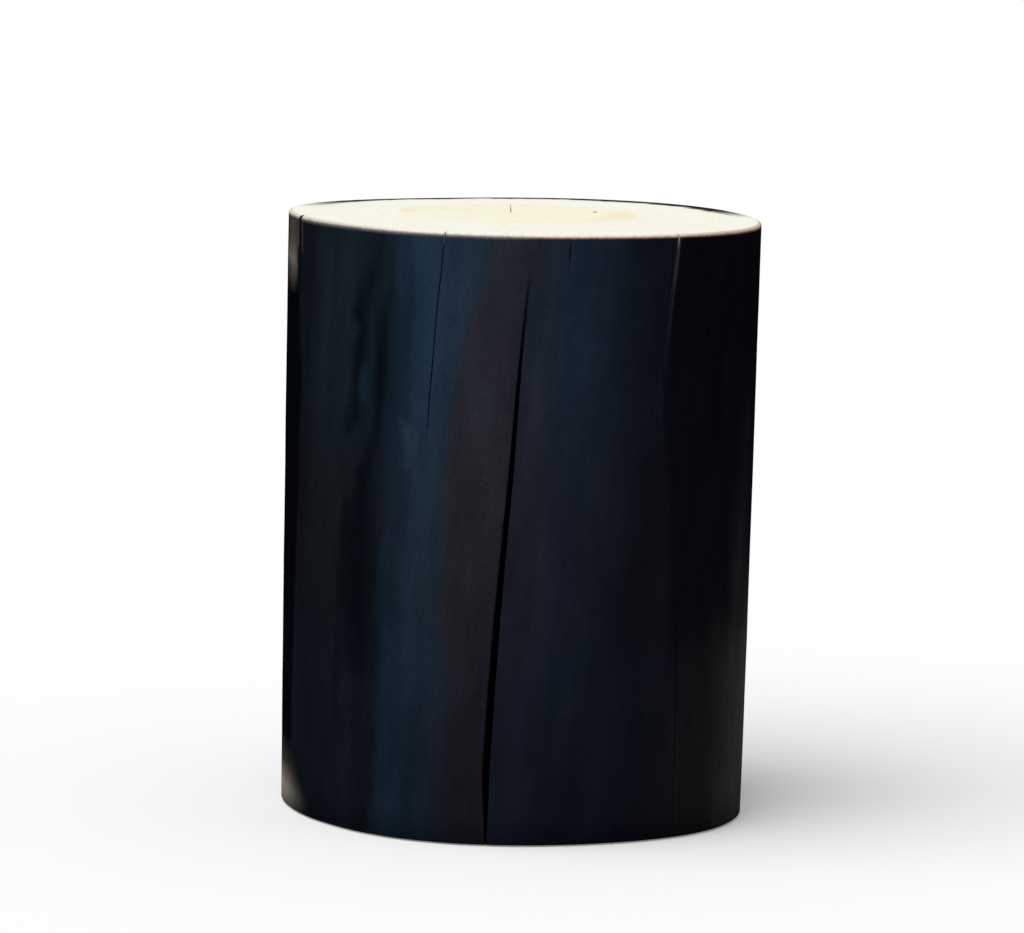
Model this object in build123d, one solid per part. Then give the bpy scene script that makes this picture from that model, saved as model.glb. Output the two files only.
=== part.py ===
from build123d import *
import math
import os

os.makedirs("parts", exist_ok=True)

# A stool cut from one peeled and dyed log, standing on felt glides screwed under its base.
# Millimetres, +Z up, origin on the floor under the middle of the plan outline.
# Angles are degrees round the log, counted from the face that looks along -Y, towards +X.

# Log
seat_height = 420.0
top_radius = 167.0
middle_radius = 166.0
base_radius = 164.0
rim_chamfer = 2.5
base_chamfer = 1.5
floor_gap = 1.0

# Plan outline: waves round the log, and their cosine and sine shares of its radius
plan_wave_shares = (
    (2, 0.0, 0.026),
    (3, -0.018, 0.0),
    (4, -0.002, -0.022),
)
outline_points = 60

# Flutes are soft hollows down the side, each with its angle at the rim, width and depth shares
flute_width = 24.0
flute_depth = 2.4
flute_shares = (
    (-41.0, 1.0, 1.0),
    (78.0, 1.3, 0.7),
    (152.0, 1.6, 0.8),
)
# Sections up the log: height share, and the share of a flute's depth reached there
section_shares = (
    (0.0, 0.3),
    (0.2, 0.5),
    (0.4, 0.8),
    (0.62, 1.0),
    (0.82, 0.8),
    (1.0, 0.35),
)

# The grain spirals: at the base, a check or flute lies this many degrees behind its place at the rim
grain_angle = 9.0

# Drying checks: widest mouth, deepest reach, and how far one strays from the grain
check_width = 5.6
check_depth = 78.0
check_sway = 3.0
cut_overrun = 4.0
# Each check has its angle at the rim, then rows of height, width, depth and sway shares
main_check_angle = 0.8
main_check_shares = (
    (-0.06, 0.2, 0.04, 1.5),
    (0.0, 0.24, 0.06, 1.4),
    (0.025, 0.4, 0.2, 1.1),
    (0.058, 0.62, 0.6, 0.8),
    (0.09, 0.84, 0.9, 0.35),
    (0.125, 0.93, 1.0, 0.05),
    (0.22, 0.92, 0.98, -0.2),
    (0.36, 0.85, 0.94, -0.4),
    (0.5, 0.69, 0.88, -0.25),
    (0.62, 0.64, 0.83, -0.08),
    (0.72, 0.52, 0.7, -0.18),
    (0.78, 0.42, 0.5, -0.19),
    (0.815, 0.33, 0.34, -0.15),
    (0.85, 0.2, 0.18, -0.07),
    (0.88, 0.12, 0.1, 0.03),
    (0.925, 0.06, 0.07, 0.16),
)
left_check_angle = -72.0
left_check_shares = (
    (-0.03, 0.3, 0.45, 0.0),
    (0.4, 0.4, 0.6, 0.6),
    (0.75, 0.34, 0.5, 1.6),
    (0.89, 0.45, 0.4, 1.8),
    (0.915, 0.75, 0.34, 1.6),
    (0.96, 0.95, 0.14, 0.6),
    (0.985, 0.95, 0.05, 0.1),
    (1.03, 0.85, 0.015, -0.2),
)
streak_check_angle = -19.6
streak_check_shares = (
    (0.66, 0.06, 0.08, -0.3),
    (0.7, 0.12, 0.12, -0.3),
    (0.74, 0.16, 0.16, -0.4),
    (0.8, 0.14, 0.18, -0.26),
    (0.87, 0.14, 0.2, -0.32),
    (0.925, 0.14, 0.14, 0.0),
    (0.985, 0.14, 0.05, 0.07),
    (1.03, 0.13, 0.02, 0.1),
)
short_check_angle = 10.1
short_check_shares = (
    (0.94, 0.06, 0.05, 0.1),
    (0.965, 0.12, 0.07, 0.05),
    (0.982, 0.26, 0.08, 0.0),
    (0.99, 0.26, 0.07, 0.0),
)
right_check_angle = 38.9
right_check_shares = (
    (0.74, 0.05, 0.07, -0.5),
    (0.77, 0.07, 0.1, -0.8),
    (0.8, 0.08, 0.14, -1.28),
    (0.865, 0.1, 0.18, -0.98),
    (0.89, 0.12, 0.2, -0.94),
    (0.92, 0.16, 0.22, -0.6),
    (0.96, 0.17, 0.14, -0.3),
    (0.985, 0.19, 0.05, -0.18),
    (1.03, 0.22, 0.02, 0.0),
)
low_check_angle = 49.5
low_check_shares = (
    (-0.03, 0.1, 0.16, 2.7),
    (0.2, 0.13, 0.22, 0.2),
    (0.42, 0.06, 0.08, -2.6),
)
back_right_check_angle = 112.0
back_right_check_shares = (
    (0.3, 0.06, 0.1, 0.2),
    (0.7, 0.26, 0.35, -0.2),
    (1.03, 0.3, 0.16, 0.0),
)
back_check_angle = 171.0
back_check_shares = (
    (-0.03, 0.4, 0.5, 0.0),
    (0.25, 0.3, 0.4, 0.3),
    (0.52, 0.06, 0.1, 0.1),
)
back_left_check_angle = -131.0
back_left_check_shares = (
    (0.48, 0.06, 0.08, -0.2),
    (0.8, 0.2, 0.3, 0.2),
    (1.03, 0.22, 0.14, 0.0),
)

# Star check at the pith, on the sawn top: each ray's angle, then its length and opening shares
pith_x = -10.0
pith_y = 24.0
star_ray_length = 84.0
star_width = 0.9
star_depth = 16.0
star_tip_share = 0.12
star_ray_shares = (
    (180.7, 1.0, 1.0),
    (8.8, 1.0, 0.35),
    (340.0, 0.22, 0.5),
    (96.0, 0.12, 0.45),
)

# Felt glides, each in a recess of the base
glide_names = ("front_right", "back_right", "back_left", "front_left")
glide_first_angle = 45.0
glide_inset = 52.0
cup_radius = 15.0
cup_wall = 1.5
cup_floor = 2.0
cup_rim_height = 1.0
cup_edge_fillet = 0.5
felt_thickness = 3.0
felt_clearance = 0.2
felt_edge_chamfer = 0.4
recess_clearance = 0.3

# Countersunk screw through each cup
screw_length = 20.0
screw_shank_radius = 1.75
screw_head_radius = 3.5
screw_point_length = 4.0
screw_tip_radius = 0.3
screw_clearance = 0.1
pilot_overrun = 1.0
drive_slot_length = 3.6
drive_slot_width = 0.8
drive_slot_depth = 1.0

# Sizes worked out from the ones above
block_height = seat_height - floor_gap
glide_circle_radius = base_radius - glide_inset
cup_top = felt_thickness + cup_floor
felt_radius = cup_radius - cup_wall - felt_clearance
screw_tip = felt_thickness + screw_length


def outward(angle):
    """Unit direction out of the log at an angle."""
    return Vector(math.sin(math.radians(angle)), -math.cos(math.radians(angle)), 0)


def sideways(angle):
    """Unit direction along the side of the log at an angle, towards larger angles."""
    return Vector(math.cos(math.radians(angle)), math.sin(math.radians(angle)), 0)


def grain_angle_at(rim_angle, share):
    """Angle that the grain reaches at a share of the height, from its angle at the rim."""
    return rim_angle - grain_angle * (1 - share)


def mean_radius(share):
    """Mean radius of the log at a share of its height, through its three named radii."""
    straight = base_radius + (top_radius - base_radius) * share
    bulge = middle_radius - (base_radius + top_radius) / 2
    return straight + bulge * 4 * share * (1 - share)


def flute_reach(share):
    """Share of a flute's depth reached at a share of the height, straight between sections."""
    for (low, low_reach), (high, high_reach) in zip(section_shares, section_shares[1:]):
        if share <= high:
            break
    return low_reach + (high_reach - low_reach) * (share - low) / (high - low)


def flute_hollow(angle, share):
    """Depth of the flutes at an angle and a share of the height."""
    hollow = 0
    for rim_angle, width_share, depth_share in flute_shares:
        away = (angle - grain_angle_at(rim_angle, share) + 180) % 360 - 180
        along = math.radians(away) * mean_radius(share)
        hollow += flute_depth * depth_share * math.exp(-((along / (flute_width * width_share)) ** 2))
    return hollow * flute_reach(share)


def log_radius(angle, share):
    """Distance of the log's side from its axis."""
    plan_angle = math.radians(angle - 90)
    waves = sum(c * math.cos(n * plan_angle) + s * math.sin(n * plan_angle) for n, c, s in plan_wave_shares)
    return mean_radius(share) * (1 + waves) - flute_hollow(angle, share)


def outline_angles():
    """Angles of the points that an outline runs through."""
    return [360 * i / outline_points for i in range(outline_points)]


def plan_centre():
    """Middle of the rim's plan outline, which stands over the origin."""
    points = [outward(angle) * log_radius(angle, 1) for angle in outline_angles()]
    across = [point.X for point in points]
    along = [point.Y for point in points]
    return Vector((max(across) + min(across)) / 2, (max(along) + min(along)) / 2, 0)


def side_point(angle, share, outset, height):
    """Point at a height, outset from the side that the log has at a share of its own height."""
    return outward(angle) * (log_radius(angle, share) + outset) - axis_offset + Vector(0, 0, height)


def outline(share, inset, height):
    """Closed outline of the log, drawn in by an inset, at a height."""
    points = [side_point(angle, share, -inset, height) for angle in outline_angles()]
    return Wire([Edge.make_spline(points, periodic=True)])


def log_body():
    """Log with its two chamfered ends, uncut."""
    low = floor_gap + base_chamfer
    high = seat_height - rim_chamfer
    sections = [outline(share, 0, low + (high - low) * share) for share, _ in section_shares]
    trunk = Solid.make_loft(sections, False)
    foot = Solid.make_loft([outline(0, base_chamfer, floor_gap), outline(0, 0, low)], True)
    rim = Solid.make_loft([outline(1, 0, high), outline(1, rim_chamfer, seat_height)], True)
    return trunk + foot + rim


def check_cutter(rim_angle, row_shares):
    """Wedge that opens one drying check, its mouth outside the log and its tip inside."""
    sections = []
    for share, width_share, depth_share, sway_share in row_shares:
        angle = grain_angle_at(rim_angle, share)
        inside = min(max(share, 0), 1)
        height = floor_gap + block_height * share
        sway = sideways(angle) * check_sway * sway_share
        half = sideways(angle) * check_width * width_share / 2
        tip = side_point(angle, inside, -check_depth * depth_share, height) + sway
        mouth = side_point(angle, inside, cut_overrun, height) + sway
        sections.append(Wire.make_polygon([tip, mouth - half, mouth + half], close=True))
    return Solid.make_loft(sections, True)


def star_cutter(angle, length_share, opening_share):
    """Wedge that opens one ray of the star check, from the pith outward, as wide again above the top."""
    pith = Vector(pith_x, pith_y, seat_height)
    end = pith + outward(angle) * star_ray_length * length_share
    sections = []
    for place, share in ((pith, opening_share), (end, opening_share * star_tip_share)):
        width = sideways(angle) * star_width * share
        lift = Vector(0, 0, star_depth * share)
        corners = [place - lift, place + lift - width, place + lift + width]
        sections.append(Wire.make_polygon(corners, close=True))
    return Solid.make_loft(sections, True)


def glide_places():
    """Each glide's name, and its place on the floor."""
    step = 360 / len(glide_names)
    for i, name in enumerate(glide_names):
        yield name, Pos(outward(glide_first_angle + step * i) * glide_circle_radius)


def upright(radius, low, high):
    """Upright cylinder between two heights."""
    return upright_cone(radius, radius, low, high)


def upright_cone(low_radius, high_radius, low, high):
    """Upright cylinder or cone frustum between two heights."""
    align = (Align.CENTER, Align.CENTER, Align.MIN)
    if low_radius == high_radius:
        return Pos(0, 0, low) * Cylinder(low_radius, high - low, align=align)
    return Pos(0, 0, low) * Cone(low_radius, high_radius, high - low, align=align)


def glide_seat():
    """Recess and pilot hole that the base has for one glide."""
    recess = upright(cup_radius + recess_clearance, 0, cup_top)
    pilot = upright(screw_shank_radius + screw_clearance, 0, screw_tip + pilot_overrun)
    return recess + pilot


def timber_block():
    """Log with its drying checks, star check and glide seats."""
    checks = (
        (main_check_angle, main_check_shares),
        (left_check_angle, left_check_shares),
        (streak_check_angle, streak_check_shares),
        (short_check_angle, short_check_shares),
        (right_check_angle, right_check_shares),
        (low_check_angle, low_check_shares),
        (back_right_check_angle, back_right_check_shares),
        (back_check_angle, back_check_shares),
        (back_left_check_angle, back_left_check_shares),
    )
    cutters = [check_cutter(rim_angle, row_shares) for rim_angle, row_shares in checks]
    cutters += [star_cutter(*ray_shares) for ray_shares in star_ray_shares]
    cutters += [place * glide_seat() for _, place in glide_places()]
    return log_body() - cutters


def glide_cup():
    """Plastic cup with a felt pocket below and a countersunk hole for its screw."""
    cup = upright(cup_radius, cup_rim_height, cup_top)
    cup = fillet(cup.edges().sort_by(Axis.Z)[0], cup_edge_fillet)
    cup -= upright(cup_radius - cup_wall, 0, felt_thickness)
    head = screw_head_radius + screw_clearance
    shank = screw_shank_radius + screw_clearance
    return cup - upright_cone(head, shank, felt_thickness, cup_top)


def glide_felt():
    """Felt disc that fills the cup's pocket and stands on the floor."""
    felt = upright(felt_radius, 0, felt_thickness)
    return chamfer(felt.edges().sort_by(Axis.Z)[0], felt_edge_chamfer)


def glide_screw():
    """Countersunk screw, its head flush in the cup and its point up in the log."""
    point_start = screw_tip - screw_point_length
    head = upright_cone(screw_head_radius, screw_shank_radius, felt_thickness, cup_top)
    shank = upright(screw_shank_radius, cup_top, point_start)
    point = upright_cone(screw_shank_radius, screw_tip_radius, point_start, screw_tip)
    slot = Pos(0, 0, felt_thickness) * Box(drive_slot_length, drive_slot_width, drive_slot_depth * 2)
    return head + shank + point - slot - Rot(0, 0, 90) * slot


axis_offset = plan_centre()
export_step(timber_block(), "parts/timber_block.step")
screws = []
for name, place in glide_places():
    export_step(place * glide_cup(), f"parts/glide_cup_{name}.step")
    export_step(place * glide_felt(), f"parts/glide_felt_{name}.step")
    screws.append(place * glide_screw())
export_step(Compound(screws), "parts/glide_screws.step")
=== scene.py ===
import math

import bmesh
import bpy
import numpy as np
from mathutils import Matrix, Vector, geometry, noise


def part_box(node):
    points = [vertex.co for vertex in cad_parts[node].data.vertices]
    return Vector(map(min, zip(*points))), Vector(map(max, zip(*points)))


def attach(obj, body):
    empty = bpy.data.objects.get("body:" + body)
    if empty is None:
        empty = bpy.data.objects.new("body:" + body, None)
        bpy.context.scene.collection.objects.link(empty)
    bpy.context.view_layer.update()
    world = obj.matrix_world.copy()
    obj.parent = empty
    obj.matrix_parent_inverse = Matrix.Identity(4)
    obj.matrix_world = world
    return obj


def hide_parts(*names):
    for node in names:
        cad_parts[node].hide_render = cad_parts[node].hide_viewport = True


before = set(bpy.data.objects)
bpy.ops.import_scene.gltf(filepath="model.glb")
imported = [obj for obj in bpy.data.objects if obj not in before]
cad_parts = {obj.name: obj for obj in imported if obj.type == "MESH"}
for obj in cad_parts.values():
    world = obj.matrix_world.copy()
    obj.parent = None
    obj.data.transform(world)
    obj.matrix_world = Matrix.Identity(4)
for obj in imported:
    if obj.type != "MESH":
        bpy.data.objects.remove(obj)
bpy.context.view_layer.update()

MM = 0.001

# The log, with the sizes of the CAD solid. Angles are degrees round it from -Y towards +X.
BASE_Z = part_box("timber_block")[0].z
TOP_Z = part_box("timber_block")[1].z
HEIGHT = TOP_Z - BASE_Z
TOP_RADIUS = 167.0 * MM
MIDDLE_RADIUS = 166.0 * MM
BASE_RADIUS = 164.0 * MM
RIM_CHAMFER = 2.5 * MM
BASE_CHAMFER = 1.5 * MM
GRAIN_ANGLE = 9.0
PLAN_WAVE_SHARES = ((2, 0.0, 0.026), (3, -0.018, 0.0), (4, -0.002, -0.022))
PLAN_STEP = 6

FLUTE_WIDTH = 24.0 * MM
FLUTE_DEPTH = 2.4 * MM
FLUTE_SHARES = ((-41.0, 1.0, 1.0), (78.0, 1.3, 0.7), (152.0, 1.6, 0.8))
FLUTE_REACH_SHARES = ((0.0, 0.3), (0.2, 0.5), (0.4, 0.8), (0.62, 1.0), (0.82, 0.8), (1.0, 0.35))

# Drying checks: angle at the rim, then rows of height share and how far dye seeped in (above 1 also
# at the rim), then rows of height, width, depth and sway shares from the base up
CHECK_WIDTH = 5.6 * MM
CHECK_DEPTH = 78.0 * MM
CHECK_SWAY = 3.0 * MM
BACK_LEFT_CHECK = (-131.0, ((1.0, 1.3),), (
    (0.48, 0.06, 0.08, -0.2), (0.8, 0.2, 0.3, 0.2), (1.03, 0.22, 0.14, 0.0),
))
LEFT_CHECK = (-72.0, ((1.0, 1.3),), (
    (-0.03, 0.3, 0.45, 0.0), (0.4, 0.4, 0.6, 0.6), (0.75, 0.34, 0.5, 1.6), (0.89, 0.45, 0.4, 1.8),
    (0.915, 0.75, 0.34, 1.6), (0.96, 0.95, 0.14, 0.6), (0.985, 0.95, 0.05, 0.1),
    (1.03, 0.85, 0.015, -0.2),
))
STREAK_CHECK = (-19.6, ((0.96, 0.995), (0.975, 0.93), (0.99, 0.5)), (
    (0.66, 0.06, 0.08, -0.3), (0.7, 0.12, 0.12, -0.3), (0.74, 0.16, 0.16, -0.4), (0.8, 0.14, 0.18, -0.26),
    (0.87, 0.14, 0.2, -0.32), (0.925, 0.14, 0.14, 0.0), (0.985, 0.14, 0.05, 0.07),
    (1.03, 0.13, 0.02, 0.1),
))
MAIN_CHECK = (0.8, ((1.0, 1.0),), (
    (-0.06, 0.2, 0.04, 1.5), (0.0, 0.24, 0.06, 1.4), (0.025, 0.4, 0.2, 1.1), (0.058, 0.62, 0.6, 0.8),
    (0.09, 0.84, 0.9, 0.35), (0.125, 0.93, 1.0, 0.05), (0.22, 0.92, 0.98, -0.2), (0.36, 0.85, 0.94, -0.4),
    (0.5, 0.69, 0.88, -0.25), (0.62, 0.64, 0.83, -0.08), (0.72, 0.52, 0.7, -0.18),
    (0.78, 0.42, 0.5, -0.19), (0.815, 0.33, 0.34, -0.15), (0.85, 0.2, 0.18, -0.07),
    (0.88, 0.12, 0.1, 0.03), (0.925, 0.06, 0.07, 0.16),
))
SHORT_CHECK = (10.1, ((1.0, 1.3),), (
    (0.94, 0.06, 0.05, 0.1), (0.965, 0.12, 0.07, 0.05), (0.982, 0.26, 0.08, 0.0), (0.99, 0.26, 0.07, 0.0),
))
RIGHT_CHECK = (38.9, ((0.84, 0.99), (0.89, 0.98), (0.91, 0.95), (0.93, 0.9), (0.975, 0.88), (0.99, 0.2)), (
    (0.74, 0.05, 0.07, -0.5), (0.77, 0.07, 0.1, -0.8), (0.8, 0.08, 0.14, -1.28),
    (0.865, 0.1, 0.18, -0.98), (0.89, 0.12, 0.2, -0.94), (0.92, 0.16, 0.22, -0.6),
    (0.96, 0.17, 0.14, -0.3), (0.985, 0.19, 0.05, -0.18), (1.03, 0.22, 0.02, 0.0),
))
LOW_CHECK = (49.5, ((1.0, 1.0),), (
    (-0.03, 0.1, 0.16, 2.7), (0.2, 0.13, 0.22, 0.2), (0.42, 0.06, 0.08, -2.6),
))
BACK_RIGHT_CHECK = (112.0, ((1.0, 1.3),), (
    (0.3, 0.06, 0.1, 0.2), (0.7, 0.26, 0.35, -0.2), (1.03, 0.3, 0.16, 0.0),
))
BACK_CHECK = (171.0, ((1.0, 1.3),), (
    (-0.03, 0.4, 0.5, 0.0), (0.25, 0.3, 0.4, 0.3), (0.52, 0.06, 0.1, 0.1),
))
CHECKS = (
    BACK_LEFT_CHECK, LEFT_CHECK, STREAK_CHECK, MAIN_CHECK, SHORT_CHECK,
    RIGHT_CHECK, LOW_CHECK, BACK_RIGHT_CHECK, BACK_CHECK,
)
# A free end closes over this share of the height
CHECK_CLOSING_SHARE = 0.02
CHECK_JAG = 0.22 * MM
LIP_EASE = 0.3 * MM
WALL_SHARES = (0.015, 0.06, 0.18, 0.42, 0.7)

# Star check at the pith
PITH = Vector((-10.0 * MM, 24.0 * MM, 0))
STAR_RAY_LENGTH = 84.0 * MM
STAR_WIDTH = 0.9 * MM
STAR_DEPTH = 16.0 * MM
STAR_RAY_SHARES = ((8.8, 1.0, 0.35), (96.0, 0.12, 0.45), (180.7, 1.0, 1.0), (340.0, 0.22, 0.5))
STAR_STEPS = 14
STAR_MEANDER = 0.6 * MM

# Profile of the two worn rims: inset from the side, and distance from the sawn face
RIM_PROFILE = ((0.0, 1.0), (0.06, 0.62), (0.26, 0.3), (0.58, 0.09), (1.0, 0.0))

# Hand-peeled surface: how far it dips below the CAD's side, and over what lengths
SWELL_DEPTH = 0.5 * MM
SWELL_LENGTH = 75.0 * MM
PEEL_DEPTH = 0.35 * MM
PEEL_LENGTH = 17.0 * MM
FIBRE_DEPTH = 0.08 * MM
FIBRE_LENGTH = 4.5 * MM
ALONG_GRAIN_SHARE = 0.14

# Spacing of the mesh
ROW_STEP = 3.5 * MM
COLUMN_STEP = 3.3 * MM
LIP_STEPS = (0.6 * MM, 1.6 * MM, 3.2 * MM, 5.6 * MM)
CAP_STEP = 4.2 * MM
PITH_STEP = 1.6 * MM
PITH_STEPS = 12.5
SAME_PLACE = 2e-6
SHARP_ANGLE = 42

# Glides, placed as the CAD nodes lie
GLIDE_NAMES = ("front_right", "back_right", "back_left", "front_left")
RECESS_CLEARANCE = 0.3 * MM
RECESS_SIDES = 48
SCREW_CLEARANCE = 0.1 * MM
SCREW_SHANK_RADIUS = 1.75 * MM
PILOT_OVERRUN = 1.0 * MM


def share_of(rows, column, share):
    """Value of one column of a table of shares, at a share of the height."""
    return np.interp(share, [row[0] for row in rows], [row[column] for row in rows])


def outward(angle):
    """Unit direction out of the log at an angle."""
    turn = np.radians(angle)
    return np.stack([np.sin(turn), -np.cos(turn), np.zeros_like(turn)], -1)


def sideways(angle):
    """Unit direction round the log at an angle."""
    return outward(angle + 90)


def level(height):
    """Step straight up."""
    return np.array([0, 0, height])


def half_turn(width, share):
    """Degrees round the log that half a width takes up."""
    return math.degrees(width / 2 / mean_radius(share))


def mean_radius(share):
    """Mean radius of the log at a share of its height."""
    straight = BASE_RADIUS + (TOP_RADIUS - BASE_RADIUS) * share
    bulge = MIDDLE_RADIUS - (BASE_RADIUS + TOP_RADIUS) / 2
    return straight + bulge * 4 * share * (1 - share)


def log_radius(angle, share):
    """Distance of the log's side from its axis, as the CAD has it."""
    plan_angle = np.radians(angle - 90)
    waves = sum(c * np.cos(n * plan_angle) + s * np.sin(n * plan_angle) for n, c, s in PLAN_WAVE_SHARES)
    hollow = 0
    for rim_angle, width_share, depth_share in FLUTE_SHARES:
        away = (angle - rim_angle + GRAIN_ANGLE * (1 - share) + 180) % 360 - 180
        along = np.radians(away) * mean_radius(share)
        hollow = hollow + depth_share * np.exp(-((along / (FLUTE_WIDTH * width_share)) ** 2))
    reach = share_of(FLUTE_REACH_SHARES, 1, share)
    return mean_radius(share) * (1 + waves) - hollow * reach * FLUTE_DEPTH


def axis_offset():
    """Middle of the rim's plan outline, which stands over the origin."""
    angles = np.arange(0, 360, PLAN_STEP)
    rim = outward(angles) * log_radius(angles, 1.0)[:, None]
    return (rim.max(0) + rim.min(0)) / 2


AXIS = axis_offset()


def grain_noise(point, length, seed):
    """Noise drawn out along the spiral grain, from -1 to 1."""
    share = (point[2] - BASE_Z) / HEIGHT
    turn = math.radians(GRAIN_ANGLE * (1 - share))
    x = point[0] * math.cos(turn) - point[1] * math.sin(turn)
    y = point[0] * math.sin(turn) + point[1] * math.cos(turn)
    place = Vector((x, y, point[2] * ALONG_GRAIN_SHARE)) / length
    return noise.noise(place + Vector((seed, seed, seed)))


def dip(point):
    """How far the hand-peeled surface lies below the CAD's side."""
    swell = 0.5 + 0.5 * grain_noise(point, SWELL_LENGTH, 3.1)
    peel = abs(grain_noise(point, PEEL_LENGTH, 17.7))
    fibre = 0.5 + 0.5 * grain_noise(point, FIBRE_LENGTH, 41.3)
    return SWELL_DEPTH * swell + PEEL_DEPTH * peel + FIBRE_DEPTH * fibre


def check_at(check, share):
    """Angle at the middle, width and depth of a check at a share of the height."""
    rim_angle, _, rows = check
    low, high = rows[0][0], rows[-1][0]
    closing = min(share - low, high - share) / CHECK_CLOSING_SHARE
    opening = min(max(closing, 0), 1) ** 0.6
    jag = noise.noise(Vector((share * 60, rim_angle, 0)))
    jag += 0.6 * noise.noise(Vector((share * 190, rim_angle, 5)))
    sway = CHECK_SWAY * share_of(rows, 3, share) + CHECK_JAG * jag
    angle = rim_angle - GRAIN_ANGLE * (1 - share) + math.degrees(sway / mean_radius(share))
    width = CHECK_WIDTH * share_of(rows, 1, share) * opening
    return angle, width, CHECK_DEPTH * share_of(rows, 2, share) * opening


def gap_columns(arc):
    """Shares of the gap between two checks at which columns stand, closest by their lips."""
    near = [step for step in LIP_STEPS if step < arc / 2]
    middle = np.linspace(near[-1], arc - near[-1], max(2, round((arc - 2 * near[-1]) / COLUMN_STEP)))
    steps = near[:-1] + list(middle) + [arc - step for step in reversed(near[:-1])]
    return [step / arc for step in steps]


def row_places():
    """Height, inset and share of the log's height for each row of the mesh."""
    rows = [(BASE_Z + BASE_CHAMFER * drop, BASE_CHAMFER * inset) for inset, drop in reversed(RIM_PROFILE)]
    low, high = BASE_Z + BASE_CHAMFER, TOP_Z - RIM_CHAMFER
    count = round((high - low) / ROW_STEP)
    rows += [(low + (high - low) * i / count, 0) for i in range(1, count)]
    rows += [(TOP_Z - RIM_CHAMFER * drop, RIM_CHAMFER * inset) for inset, drop in RIM_PROFILE]
    return [(height, inset, (height - BASE_Z) / HEIGHT) for height, inset in rows]


class Log:
    """Mesh of the log, gathered as corners, faces and what the materials read from them."""

    def __init__(self):
        self.points = []
        self.faces = []
        self.kinds = []
        self.split = []
        self.seep = []
        self.past = []

    def point(self, place, split=0.0, seep=0.0, past=(1.0, 1.0, 1.0)):
        self.points.append(tuple(place))
        self.split.append(split)
        self.seep.append(seep)
        self.past.append(past)
        return len(self.points) - 1

    def face(self, corners, kind):
        self.faces.append(tuple(corners))
        self.kinds.append(kind)


SIDE, END, BASE, WALL = range(4)


def past_checks(angle, share):
    """How far round the log an angle lies past the main, the left and the right check."""
    middles = [check_at(check, share)[0] for check in (MAIN_CHECK, LEFT_CHECK, RIGHT_CHECK)]
    away = [(angle - middle + 180) % 360 - 180 for middle in middles]
    return [math.radians(turn) * mean_radius(share) for turn in away]


def check_points(log, check, share, height, inset):
    """One row of a check: left lip, left wall, tip, right wall and right lip."""
    angle, width, depth = check_at(check, share)
    seep = float(share_of(check[1], 1, share))
    out, along = outward(angle), sideways(angle)
    foot = out * (log_radius(angle, share) - inset) - AXIS + level(height)
    sunk = dip(foot) + LIP_EASE * min(1, width / LIP_EASE)
    depth = max(depth - inset, sunk)
    walls = []
    for side in (-1, 1):
        past = past_checks(angle + side * half_turn(width, share), share)
        wall = []
        for share_in in (0, *WALL_SHARES):
            ragged = noise.noise(Vector((share * 90, share_in * 9, check[0]))) * CHECK_JAG * (share_in > 0)
            across = along * (width / 2) * side * (1 - share_in) ** 0.8
            across += along * ragged * min(1, width / CHECK_WIDTH * 2)
            place = foot - out * (sunk + (depth - sunk) * share_in) + across
            wall.append(log.point(place, (depth - sunk) * share_in, seep, past))
        walls.append(wall)
    tip = log.point(foot - out * depth, depth - sunk, seep, past_checks(angle, share))
    return walls[0] + [tip] + walls[1][::-1]


def side_rows(log):
    """Corners of each row of the side, in order, with faces between the rows."""
    following = CHECKS[1:] + CHECKS[:1]
    turns = [(after[0] - check[0]) % 360 for check, after in zip(CHECKS, following)]
    gaps = [gap_columns(math.radians(turn) * MIDDLE_RADIUS) for turn in turns]
    rows = []
    for height, inset, share in row_places():
        ring, walls = [], []
        for check, after, gap in zip(CHECKS, following, gaps):
            corners = check_points(log, check, share, height, inset)
            ring += corners
            walls += [True] * (len(corners) - 1) + [False]
            angle, width, _ = check_at(check, share)
            next_angle, next_width, _ = check_at(after, share)
            start = angle + half_turn(width, share)
            end = start + (next_angle - half_turn(next_width, share) - start) % 360
            for step in gap:
                here = start + (end - start) * step
                place = outward(here) * (log_radius(here, share) - inset) - AXIS + level(height)
                place = place - outward(here) * dip(place)
                ring.append(log.point(place, past=past_checks(here, share)))
                walls.append(False)
        rows.append(ring)
    for low, high in zip(rows, rows[1:]):
        for j, wall in enumerate(walls):
            k = (j + 1) % len(low)
            log.face((low[j], low[k], high[k], high[j]), WALL if wall else SIDE)
    return rows


def inside(loop, spots):
    """Whether each spot lies inside a closed loop, by crossings along +X."""
    found = np.zeros(len(spots), bool)
    for (x1, y1), (x2, y2) in zip(loop, np.roll(loop, -1, 0)):
        if y1 == y2:
            continue
        across = (spots[:, 1] < y1) != (spots[:, 1] < y2)
        found ^= across & (spots[:, 0] < x1 + (spots[:, 1] - y1) * (x2 - x1) / (y2 - y1))
    return found


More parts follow.
